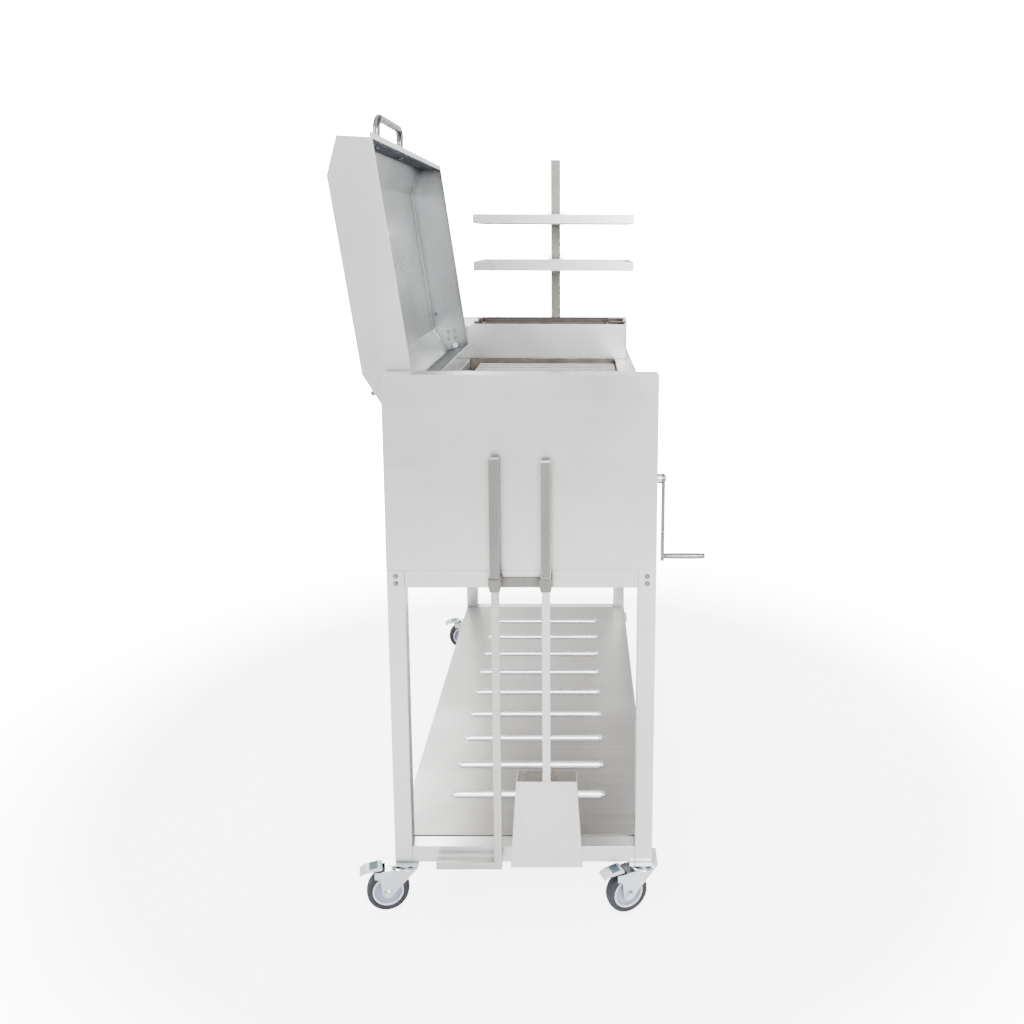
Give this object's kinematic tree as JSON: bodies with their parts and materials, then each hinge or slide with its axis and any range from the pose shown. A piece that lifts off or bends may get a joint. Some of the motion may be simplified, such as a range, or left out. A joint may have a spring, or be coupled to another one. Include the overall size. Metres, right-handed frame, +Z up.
{
  "type": "charcoal grill cart",
  "caption": "Stainless charcoal and wood grill cart with a tilting hood, a crank-lifted grate, an open fire box, sliding racks, hung ash tools, a slotted shelf and braked casters.",
  "frame": {"origin": "middle of the floor area under the whole cart, at floor level", "axes": "+X along the cart from the tool end to the fire box end, +Y from the crank side to the hood hinge side, +Z up"},
  "size_m": [1.5798, 0.842, 1.8576],
  "materials": {
    "stainless": "fine brushed stainless sheet",
    "tool_steel": "plain mill-finish stainless bar and tube",
    "fire_steel": "heat-darkened steel",
    "zinc": "bright zinc plate",
    "firebrick": "rough fired clay",
    "tyre": "dark solid rubber tread",
    "wheel_hub": "moulded hub",
    "brake_pedal": "pale moulded pedal"
  },
  "bodies": {
    "cart": {"leg_left_front": "stainless", "leg_left_rear": "stainless", "leg_right_front": "stainless", "leg_right_rear": "stainless", "top_rail_front": "stainless", "top_rail_rear": "stainless", "top_rail_left": "stainless", "top_rail_right": "stainless", "bottom_rail_front": "stainless", "bottom_rail_rear": "stainless", "bottom_rail_left": "stainless", "bottom_rail_right": "stainless", "lower_shelf": "stainless", "left_end_panel": "stainless", "right_end_panel": "stainless", "front_panel": "stainless", "rear_panel": "stainless", "ash_pan": "stainless", "firebrick_bed": "firebrick", "fire_divider": "fire_steel", "hood_pin_left": "zinc", "hood_pin_right": "zinc", "hood_stop_angle": "stainless", "crank_bearing": "stainless", "firebox_collar": "stainless", "hinge_cheek": "stainless", "ember_basket": "fire_steel", "rack_post": "tool_steel", "tool_holder": "tool_steel", "caster_left_front_plate": "zinc", "caster_left_rear_plate": "zinc", "caster_right_front_plate": "zinc", "caster_right_rear_plate": "zinc"},
    "hood": {"hood_shell": "stainless", "handle_backing_strip": "tool_steel", "hood_handle": "stainless"},
    "grate": {"grate_frame": "stainless", "grill_grate": "stainless"},
    "crank": {"crank": "stainless"},
    "crank_grip": {"crank_grip": "stainless"},
    "upper_rack": {"upper_rack": "stainless"},
    "lower_rack": {"lower_rack": "stainless"},
    "ash_rake": {"ash_rake": "tool_steel"},
    "ash_shovel": {"ash_shovel": "tool_steel"},
    "swivel_left_front": {"caster_left_front_fork": "zinc"},
    "wheel_left_front": {"caster_left_front_tyre": "tyre", "caster_left_front_rim": "wheel_hub"},
    "pedal_left_front": {"caster_left_front_pedal": "brake_pedal"},
    "swivel_left_rear": {"caster_left_rear_fork": "zinc"},
    "wheel_left_rear": {"caster_left_rear_tyre": "tyre", "caster_left_rear_rim": "wheel_hub"},
    "pedal_left_rear": {"caster_left_rear_pedal": "brake_pedal"},
    "swivel_right_front": {"caster_right_front_fork": "zinc"},
    "wheel_right_front": {"caster_right_front_tyre": "tyre", "caster_right_front_rim": "wheel_hub"},
    "pedal_right_front": {"caster_right_front_pedal": "brake_pedal"},
    "swivel_right_rear": {"caster_right_rear_fork": "zinc"},
    "wheel_right_rear": {"caster_right_rear_tyre": "tyre", "caster_right_rear_rim": "wheel_hub"},
    "pedal_right_rear": {"caster_right_rear_pedal": "brake_pedal"}
  },
  "joints": [
    {"name": "hood_hinge", "type": "hinge", "parent": "cart", "child": "hood", "pos_m": [-0.1644, 0.28591, 1.214], "axis": [1, 0, 0], "range_deg": [0, 98.05]},
    {"name": "grate_lift", "type": "slide", "parent": "cart", "child": "grate", "axis": [0, 0, 1], "range_m": [-0.22, 0]},
    {"name": "crank_turn", "type": "hinge", "parent": "cart", "child": "crank", "pos_m": [-0.6034, -0.29409, 1.01], "axis": [0, 1, 0], "range_deg": [-631, 1]},
    {"name": "grip_spin", "type": "hinge", "parent": "crank", "child": "crank_grip", "pos_m": [-0.6034, -0.37009, 0.82], "axis": [0, 1, 0], "continuous": true},
    {"name": "upper_rack_slide", "type": "slide", "parent": "cart", "child": "upper_rack", "axis": [0, 0, 1], "range_m": [-0.03, 0.14]},
    {"name": "lower_rack_slide", "type": "slide", "parent": "cart", "child": "lower_rack", "axis": [0, 0, 1], "range_m": [-0.1, 0.03]},
    {"name": "rake_lift", "type": "slide", "parent": "cart", "child": "ash_rake", "axis": [0, 0, 1], "range_m": [0, 0.15]},
    {"name": "shovel_lift", "type": "slide", "parent": "cart", "child": "ash_shovel", "axis": [0, 0, 1], "range_m": [0, 0.15]},
    {"name": "caster_left_front_swivel", "type": "hinge", "parent": "cart", "child": "swivel_left_front", "pos_m": [-0.7334, -0.27409, 0.11], "axis": [0, 0, 1], "continuous": true},
    {"name": "caster_left_front_roll", "type": "hinge", "parent": "swivel_left_front", "child": "wheel_left_front", "pos_m": [-0.74913, -0.23515, 0.05], "axis": [-0.9272, -0.3746, 0], "continuous": true},
    {"name": "caster_left_front_brake", "type": "hinge", "parent": "swivel_left_front", "child": "pedal_left_front", "pos_m": [-0.75513, -0.22032, 0.11], "axis": [-0.9272, -0.3746, 0], "range_deg": [0, 12]},
    {"name": "caster_left_rear_swivel", "type": "hinge", "parent": "cart", "child": "swivel_left_rear", "pos_m": [-0.7334, 0.28591, 0.11], "axis": [0, 0, 1], "continuous": true},
    {"name": "caster_left_rear_roll", "type": "hinge", "parent": "swivel_left_rear", "child": "wheel_left_rear", "pos_m": [-0.74213, 0.32699, 0.05], "axis": [-0.9781, -0.2079, 0], "continuous": true},
    {"name": "caster_left_rear_brake", "type": "hinge", "parent": "swivel_left_rear", "child": "pedal_left_rear", "pos_m": [-0.74546, 0.34264, 0.11], "axis": [-0.9781, -0.2079, 0], "range_deg": [0, 12]},
    {"name": "caster_right_front_swivel", "type": "hinge", "parent": "cart", "child": "swivel_right_front", "pos_m": [0.7266, -0.27409, 0.11], "axis": [0, 0, 1], "continuous": true},
    {"name": "caster_right_front_roll", "type": "hinge", "parent": "swivel_right_front", "child": "wheel_right_front", "pos_m": [0.71087, -0.23515, 0.05], "axis": [-0.9272, -0.3746, 0], "continuous": true},
    {"name": "caster_right_front_brake", "type": "hinge", "parent": "swivel_right_front", "child": "pedal_right_front", "pos_m": [0.70487, -0.22032, 0.11], "axis": [-0.9272, -0.3746, 0], "range_deg": [0, 12]},
    {"name": "caster_right_rear_swivel", "type": "hinge", "parent": "cart", "child": "swivel_right_rear", "pos_m": [0.7266, 0.28591, 0.11], "axis": [0, 0, 1], "continuous": true},
    {"name": "caster_right_rear_roll", "type": "hinge", "parent": "swivel_right_rear", "child": "wheel_right_rear", "pos_m": [0.71787, 0.32699, 0.05], "axis": [-0.9781, -0.2079, 0], "continuous": true},
    {"name": "caster_right_rear_brake", "type": "hinge", "parent": "swivel_right_rear", "child": "pedal_right_rear", "pos_m": [0.71454, 0.34264, 0.11], "axis": [-0.9781, -0.2079, 0], "range_deg": [0, 12]}
  ],
  "couplings": [
    {"joint": "crank_turn", "follows": "grate_lift", "rad_per_m": 50}
  ]
}
